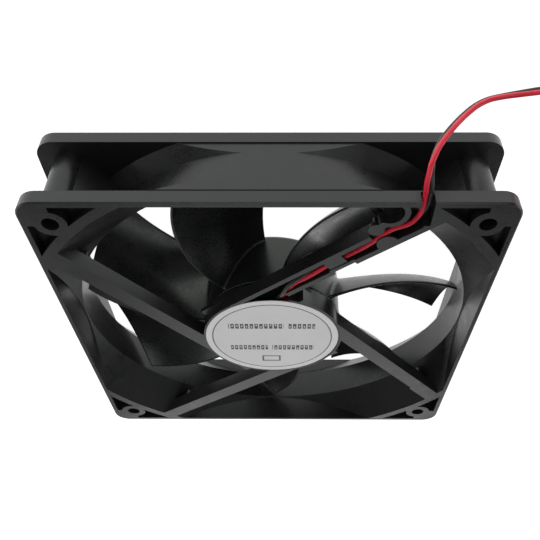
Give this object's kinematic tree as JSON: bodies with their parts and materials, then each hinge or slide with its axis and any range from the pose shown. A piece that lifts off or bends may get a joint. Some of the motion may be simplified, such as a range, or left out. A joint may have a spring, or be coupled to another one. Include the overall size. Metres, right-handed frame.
{
  "type": "case fan",
  "caption": "Square axial cooling fan for a computer case, with swept blades, diagonal struts, a round label over the motor and a two-wire lead ending in a plug.",
  "frame": {"origin": "middle of the intake face, on the spin axis; the fan lies on this face", "axes": "+Z along the spin axis from the intake face to the exhaust face with the struts and the label; -Y towards the side where the lead leaves"},
  "size_m": [0.1705, 0.1366, 0.025],
  "materials": {
    "frame_plastic": "fine satin moulded black",
    "impeller_plastic": "smooth satin moulded black",
    "label_foil": "silver grey printed film",
    "brass": "turned",
    "bronze": "porous sintered, oiled",
    "felt": "oil-soaked felt",
    "nylon_white": "natural nylon",
    "cap_rubber": "soft black",
    "lamination_steel": "stamped stack",
    "copper_wire": "enamelled windings",
    "board_green": "solder mask",
    "chip_black": "moulded epoxy",
    "ceramic_tan": "ceramic",
    "tin": "tinned",
    "yoke_steel": "drawn, zinc plated",
    "magnet": "bonded ferrite",
    "shaft_steel": "ground",
    "wire_red": "red insulation",
    "wire_black": "black insulation",
    "tie_black": "nylon tie",
    "connector_nylon": "natural nylon"
  },
  "bodies": {
    "housing": {"frame": "frame_plastic", "label": "label_foil", "bearing_tube": "brass", "sleeve_bearing": "bronze", "oil_ring": "felt", "thrust_washers": "nylon_white", "oil_cap": "cap_rubber", "stator_laminations": "lamination_steel", "insulator_lower": "nylon_white", "insulator_upper": "nylon_white", "coil_1": "copper_wire", "coil_2": "copper_wire", "coil_3": "copper_wire", "coil_4": "copper_wire", "circuit_board": "board_green", "driver_ic": "chip_black", "capacitor": "ceramic_tan", "resistors": "chip_black", "diode": "chip_black", "terminal_pins": "tin", "solder_joints": "tin", "lead_held": "wire_red", "lead_free": "wire_red", "lead_coil": "wire_red", "lead_tail": "wire_red", "lead_tie": "tie_black", "connector_housing": "connector_nylon", "connector_contacts": "brass"},
    "rotor": {"impeller": "impeller_plastic", "rotor_yoke": "yoke_steel", "rotor_magnet": "magnet", "shaft_bushing": "brass", "shaft": "shaft_steel", "retaining_clip": "nylon_white"}
  },
  "joints": [
    {"name": "rotor_spin", "type": "hinge", "parent": "housing", "child": "rotor", "pos_m": [0, 0, 0.0125], "axis": [0, 0, -1], "continuous": true}
  ]
}
